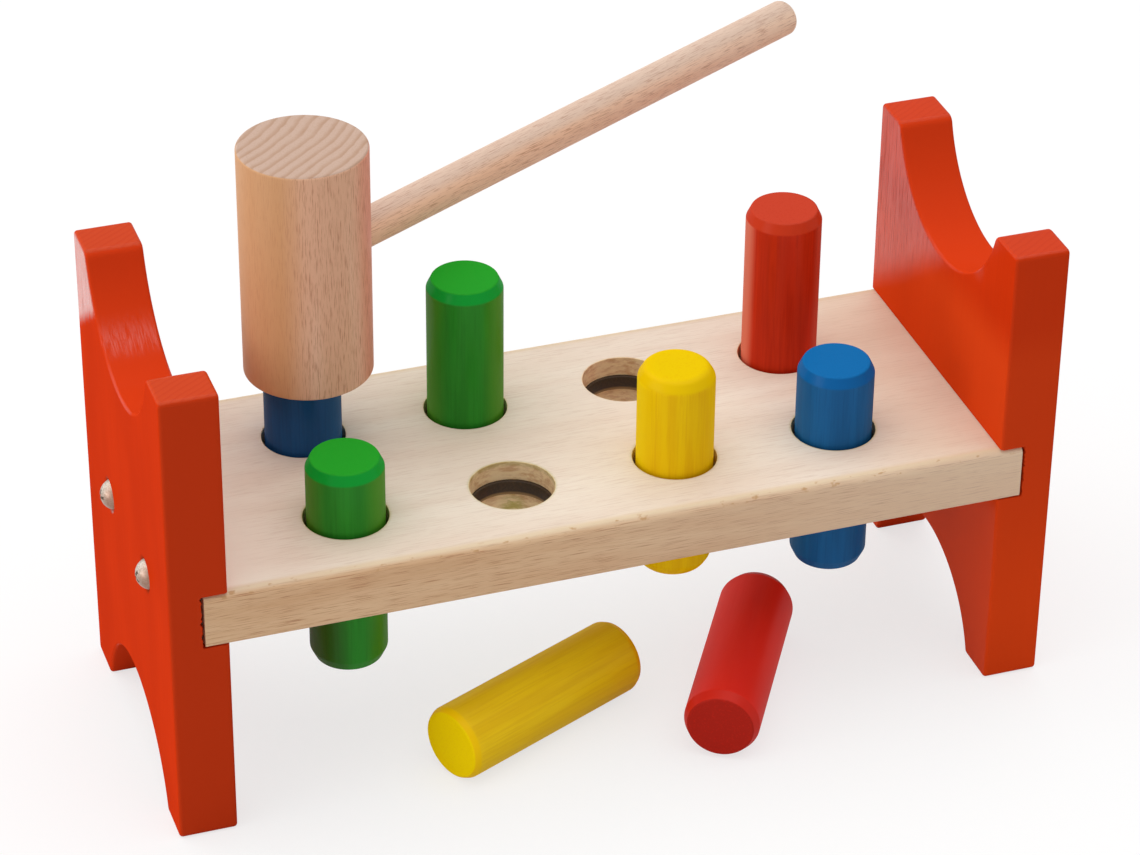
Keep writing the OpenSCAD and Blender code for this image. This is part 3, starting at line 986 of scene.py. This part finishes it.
def stainedWood(name, look, place, shift, lying):
    material, maker = newMaterial(name + "Stain")
    here = maker.local(place, shift)
    fibres = maker.grain(here, *look["fibreGrain"])
    bands = maker.patches(here, look, "band")
    mottle = maker.grain(here, *look["mottleGrain"])
    tone = maker.blend(bands * look["bandShare"], look["sides"], look["deep"])
    tone = maker.blend(maker.step(fibres, *look["fibreStep"]) * look["fibreShare"], tone, look["deep"])
    facing = place if lying else place @ Matrix.Rotation(math.radians(peg["flankTurn"]), 4, "Z")
    across, _, along = maker.axes(maker.local(facing))
    # painted light and reflections on the two flanks, each flank with its own share
    for way, share in zip((-1, 1), look["flankLights"]):
        onFlank = maker.step(across * way, look["flankFrom"], look["flankTo"])
        tone = maker.blend(onFlank * share, tone, look["flank"])
    if "nearShade" in look:  # painted shade towards the end that lies out from under the board, evening out the board's shadow on the other end
        tone = maker.blend(maker.step(along, *look["nearShadeStep"]), tone, look["nearShade"])
    # both ends of a lying peg show, and the lower end of a standing one is painted as dark as its sides, as
    # painted shade below the board
    reach = abs(along) if lying else along
    bevelStart = peg["length"] / 2 - bevels[look["cut"]][1]
    onBevel = maker.step(reach, bevelStart + look["bevelFrom"], bevelStart + look["bevelTo"])
    tone = maker.blend(onBevel, tone, look["bevel"])
    if "under" in look:  # painted shade: brown on one flank below the board
        boardUnder = (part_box("peg_board")[0].z - place.translation.z) / mm
        marks = maker.step(along, boardUnder + look["underHeight"], boardUnder)
        marks = marks * maker.step(across, *look["underAcross"])
        tone = maker.blend(marks * look["underShare"], tone, look["under"])
    pores = maker.patches(here, look, "pore")
    face = maker.blend(pores * look["pores"], look["end"], look["deep"])
    onFace = maker.step(reach, *look["faceStep"])
    tone = maker.blend(onFace, tone, face)
    height = fibres * look["fibreHeight"] + mottle * look["mottleHeight"]
    return coated(material, maker, look, tone, mottle, height, {
        "Coat Weight": ranged(onFace, *look["faceCoats"]) * look["coat"], "Coat Roughness": look["gloss"]})


def makePeg(index, name, body, node, slot, stain, heading):
    place = Matrix.Translation(boxMiddle(node))
    lying = heading is not None
    if lying:
        place = place @ Matrix.Rotation(math.radians(heading), 4, "Z") @ laidAlongX
    look = {**stained, **stains[stain]}
    bevelIn, bevelDown, top, side = bevels[look["cut"]]
    radius, half = peg["radius"], peg["length"] / 2
    inner, lower = radius - bevelIn, half - bevelDown
    corners = [(0, -half), (inner, -half), (radius, -lower), (radius, lower), (inner, half), (0, half)]
    profile = rounded(corners, [top, side, side, top], peg["bevelSteps"], peg["bevelSupport"])
    mesh = turnedMesh(name, profile, peg["roundSteps"], place)
    smooth(mesh)
    shift = [index * part for part in peg["grainShift"]]
    material = stainedWood(name, look, place, shift, lying)
    return mounted(newObject(name, mesh, material), body, slot, node)


for index, row in enumerate(pegRows):
    makePeg(index, *row)
print("Pegs made:", len(pegRows))

# Mallet

mallet = {
    "headRadius": 20.0,
    "headEase": 0.9,
    "headSteps": 128,
    "handleRadius": 6.0,
    "handleEase": 2.1,
    "handleSteps": 72,
    "handleBack": 7.95,
    "handleAhead": 223.0,
    "handleTurn": 28.2,
    "easeSteps": 6,
    "easeSupport": 0.4,
    "boreRadius": 6.05,
    "boreBack": 8.0,
    "boreAhead": 40.0,
    "boreSteps": 64,
}

malletBeech = {  # what the head and the handle share, in mm from their own middles
    "dark": colour(160, 88, 56),
    "endPale": colour(201, 171, 153),
    "endRing": colour(176, 136, 108),
    "heart": (-69.0, 72.0),     # the tree's middle, from the piece's axis
    "ringGap": 3.4, "ringRise": (0.3, 0.82), "ringFall": (0.98, 0.82), "ringShare": 0.75,
    "slowGrain": ((18, 18, 90), 2), "slowWarp": 3.4,
    "quickGrain": ((4, 4, 60), 2), "quickWarp": 0.9,
    "fadeGrain": ((7, 7, 40), 2), "fadeLeast": 0.3,
    "warmGrain": ((12, 12, 140), 2), "warmStep": (0.35, 0.65),
    "fibreGrain": ((0.6, 0.6, 16), 3, 0.6), "fibreStep": (0.4, 0.75), "fibreShare": 0.4,
    "fleckGrain": ((0.25, 0.25, 5.4), 2, 0.6), "fleckStep": (0.51, 0.66),
    "speckGrain": ((0.5, 0.5, 2.0), 2), "speckStep": (0.45, 0.75), "speckShare": 0.25,
    "tanShare": 0.85, "ruddyShare": 0.9,
    "endFrom": 0.45, "endTo": 0.15,         # in from the end face
    "roughness": (0.5, 0.6), "specular": 0.1, "coat": 0.03, "coatRoughness": 0.3,
    "fibreHeight": 0.6, "fleckHeight": -0.2, "bumpDepth": 0.06, "bumpShare": 0.6,
}

malletTones = {
    "head": {
        "pale": colour(241, 200, 172), "warm": colour(229, 180, 148), "tan": colour(209, 156, 106),
        "ruddy": colour(230, 148, 122), "tanStep": (-3.0, -13.0), "ruddyStep": (9.0, 18.0),
        "flecks": 0.5, "flecksKept": 0.35,  # how many are kept on the tan side
        "shift": (13, 7, 40),
    },
    "handle": {
        "pale": colour(250, 218, 192), "warm": colour(247, 203, 170), "tan": colour(218, 192, 174),
        "ruddy": colour(224, 176, 150), "tanStep": (-2.6, -5.8), "ruddyStep": (2.0, 6.0),
        "flecks": 0.45, "flecksKept": 0.9,
        "shift": (71, 5, 9),
    },
}


def malletWood(name, part, place, halfLength):
    look = {**malletBeech, **malletTones[part]}
    material, maker = newMaterial(name)
    here, other = maker.local(place), maker.local(place, look["shift"])
    east, north, along = maker.axes(here)
    # growth rings about a heart well outside the piece
    heartX, heartY = look["heart"]
    warp = maker.grain(other, *look["slowGrain"]) * look["slowWarp"]
    warp = warp + maker.grain(other, *look["quickGrain"]) * look["quickWarp"]
    ring = ((distance(east - heartX, north - heartY) + warp) / look["ringGap"]).fraction()
    line = maker.between(ring, look["ringRise"], look["ringFall"])
    line = line * (maker.grain(other, *look["fadeGrain"]) + look["fadeLeast"])
    fibres = maker.grain(other, *look["fibreGrain"])
    tanSide = maker.step(east, *look["tanStep"])
    ruddySide = maker.step(east, *look["ruddyStep"])
    flecks = maker.patches(other, look, "fleck")
    flecks = flecks * ranged(tanSide, 1, look["flecksKept"])
    warm = maker.patches(other, look, "warm")
    wood = maker.blend(warm, look["pale"], look["warm"])
    streaks = maker.step(fibres, *look["fibreStep"]) * look["fibreShare"]
    wood = maker.blend(streaks, wood, look["warm"])
    wood = maker.blend(tanSide * look["tanShare"], wood, look["tan"])
    wood = maker.blend(ruddySide * look["ruddyShare"], wood, look["ruddy"])
    wood = maker.blend(flecks * look["flecks"], wood, look["dark"])
    specks = maker.patches(other, look, "speck")
    ends = maker.blend(line * look["ringShare"], look["endPale"], look["endRing"])
    ends = maker.blend(specks * look["speckShare"], ends, look["endRing"])
    onEnd = maker.step(abs(along), halfLength - look["endFrom"], halfLength - look["endTo"])
    wood = maker.blend(onEnd, wood, ends)
    height = fibres * look["fibreHeight"] + flecks * look["fleckHeight"]
    return coated(material, maker, look, wood, flecks, height, {
        "Coat Weight": look["coat"], "Coat Roughness": look["coatRoughness"]})


headLow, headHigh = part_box("mallet_head")
headPlace = Matrix.Translation(boxMiddle("mallet_head"))
headHalf = (headHigh.z - headLow.z) / 2 / mm
handlePlace = headPlace @ (Matrix.Rotation(math.radians(mallet["handleTurn"]), 4, "Z") @ laidAlongX)


def easedRod(name, radius, low, high, ease, steps, place):  # a rod with rounded ends, from low to high
    corners = [(0, low), (radius, low), (radius, high), (0, high)]
    profile = rounded(corners, [ease, ease], mallet["easeSteps"], mallet["easeSupport"])
    return turnedMesh(name, profile, steps, place)


def malletHeadMesh():
    radius, back, ahead = mallet["boreRadius"], mallet["boreBack"], mallet["boreAhead"]
    body = easedRod("malletHead", mallet["headRadius"], -headHalf, headHalf, mallet["headEase"],
                    mallet["headSteps"], headPlace)
    bore = turnedMesh("bore", [(0, -back), (radius, -back), (radius, ahead), (0, ahead)],
                      mallet["boreSteps"], handlePlace)
    return settled(cut(body, bore), "malletHead")


def malletHandleMesh():
    mesh = easedRod("malletHandle", mallet["handleRadius"], -mallet["handleBack"], mallet["handleAhead"],
                    mallet["handleEase"], mallet["handleSteps"], handlePlace)
    smooth(mesh)
    return mesh


handleHalf = (mallet["handleAhead"] + mallet["handleBack"]) / 2
handleMiddle = handlePlace @ Matrix.Translation((0, 0, (handleHalf - mallet["handleBack"]) * mm))
headWood = malletWood("malletHeadBeech", "head", headPlace, headHalf)
handleWood = malletWood("malletHandleBeech", "handle", handleMiddle, handleHalf)
mounted(newObject("malletHead", malletHeadMesh(), headWood), "mallet", "mallet_beech", "mallet_head")
mounted(newObject("malletHandle", malletHandleMesh(), handleWood), "mallet", "mallet_beech", "mallet_handle")
print("Mallet made")

# Panel screws

screws = {
    "Head radius": 4.5 * mm,
    "Dome height": 2.8 * mm,
    "Dome steps": 48,
    "Sunk": 0.5 * mm,
    "Shank radius": 2.0 * mm,
    "Shank length": 30.0 * mm,
    "Shank steps": 24,
    "Tip length": 5.0 * mm,
    "Arm width": 1.0 * mm,
    "Arm length": 4.5 * mm,
    "Arm depth": 1.2 * mm,
    "Bench length": 282.0 * mm,
    "Row pitch": 45.0 * mm,
    "Seed": 4,
}

nickel = {
    "pale": colour(204, 194, 182),
    "dull": colour(168, 154, 138),
    # a painted reflection of dark surroundings
    "darkReflection": colour(150, 108, 88),
    "grain": ((0.5, 0.5, 0.5), 3),
    "dullStep": (0.35, 0.7),
    "darkReflectionStep": (0.5, -4.0),     # along the bench's depth, from each head's middle
    "darkReflectionShare": 0.75,
    "roughness": (0.34, 0.54),
    "specular": 0.5,
    "bumpDepth": 0.01,
    "bumpShare": 0.4,
}


def paleNickel():
    material, maker = newMaterial("paleNickel")
    here = maker.local(Matrix.Identity(4))
    brushed = maker.grain(here, *nickel["grain"])
    tone = maker.blend(maker.step(brushed, *nickel["dullStep"]), nickel["pale"], nickel["dull"])
    # painted reflection: browner and darker towards the front of each head
    along = maker.axes(here)[1]
    pitch = screws["Row pitch"] / mm
    fromHead = (along - boxMiddle("peg_board").y / mm).wrapped(0.0, pitch) - pitch / 2
    darkReflected = maker.step(fromHead, *nickel["darkReflectionStep"]) * nickel["darkReflectionShare"]
    tone = maker.blend(darkReflected, tone, nickel["darkReflection"])
    return coated(material, maker, nickel, tone, brushed, brushed, {"Metallic": 1.0})


def screwMesh(material):
    tree, maker, keys, given = shapeTree("panelScrewGrid", screws)
    radius, dome, sunk = given["Head radius"], given["Dome height"], given["Sunk"]
    ball = (radius * radius + dome * dome) / (dome * 2)
    length, around = given["Shank length"], given["Shank steps"]

    def block(x, y, z):
        size = maker.node("ShaderNodeCombineXYZ", None, {0: x, 1: y, 2: z})
        return maker.node("GeometryNodeMeshCube", None, {"Size": size})

    def raised(shape, height):
        move = maker.node("ShaderNodeCombineXYZ", None, {2: height})
        return maker.node("GeometryNodeTransform", None, {"Geometry": shape, "Translation": move})

    sphere = maker.node("GeometryNodeMeshUVSphere", None, {
        "Segments": given["Dome steps"], "Rings": given["Dome steps"], "Radius": ball})
    wide = ball * 4
    below = raised(block(wide, wide, wide), (wide * 0.5 + sunk) * -1)
    arms = [block(given["Arm length"], given["Arm width"], given["Arm depth"] * 2),
            block(given["Arm width"], given["Arm length"], given["Arm depth"] * 2)]
    head = maker.node("GeometryNodeMeshBoolean", {"operation": "DIFFERENCE", "solver": "EXACT"}, {
        "Mesh 1": raised(sphere, dome - ball), "Mesh 2": [below] + [raised(arm, dome) for arm in arms]})
    shank = maker.node("GeometryNodeMeshCylinder", None, {
        "Vertices": around, "Radius": given["Shank radius"], "Depth": length}, out="Mesh")
    tip = maker.node("GeometryNodeMeshCone", None, {
        "Vertices": around, "Radius Top": given["Shank radius"], "Radius Bottom": 0.0,
        "Depth": given["Tip length"]}, out="Mesh")
    tip = raised(tip, (length + given["Tip length"]) * -1)
    whole = maker.node("GeometryNodeMeshBoolean", {"operation": "UNION", "solver": "EXACT"}, {
        "Mesh 2": [head, raised(shank, length * -0.5), tip]})
    grid = maker.node("GeometryNodeMeshGrid", None, {
        "Size X": given["Bench length"], "Size Y": given["Row pitch"], "Vertices X": 2, "Vertices Y": 2})
    here = maker.node("GeometryNodeInputPosition")
    outward = maker.node("ShaderNodeVectorMath", {"operation": "MULTIPLY"}, {0: here, 1: (1, 0, 0)})
    facing = maker.node("FunctionNodeAlignRotationToVector", {"axis": "Z"}, {"Vector": outward})
    spin = maker.node("FunctionNodeRandomValue", {"data_type": "FLOAT"}, {
        2: 0.0, 3: math.pi / 2, "Seed": given["Seed"]}, out=1)
    turn = maker.node("FunctionNodeAxisAngleToRotation", None, {"Axis": (0, 0, 1), "Angle": spin})
    facing = maker.node("FunctionNodeRotateRotation", {"rotation_space": "LOCAL"}, {
        "Rotation": facing, "Rotate By": turn})
    placed = maker.node("GeometryNodeInstanceOnPoints", None, {
        "Points": grid, "Instance": whole, "Rotation": facing})
    endTree(maker, placed, material)
    mesh = growMesh("panelScrews", tree, keys, screws, boxMiddle("peg_board"))
    smooth(mesh, sharpFrom=40)
    return mesh


screwNodes = [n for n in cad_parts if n.startswith("screw_")]
mounted(newObject("panelScrews", screwMesh(paleNickel())), "bench", "screw_steel", *screwNodes)
print("Panel screws made")
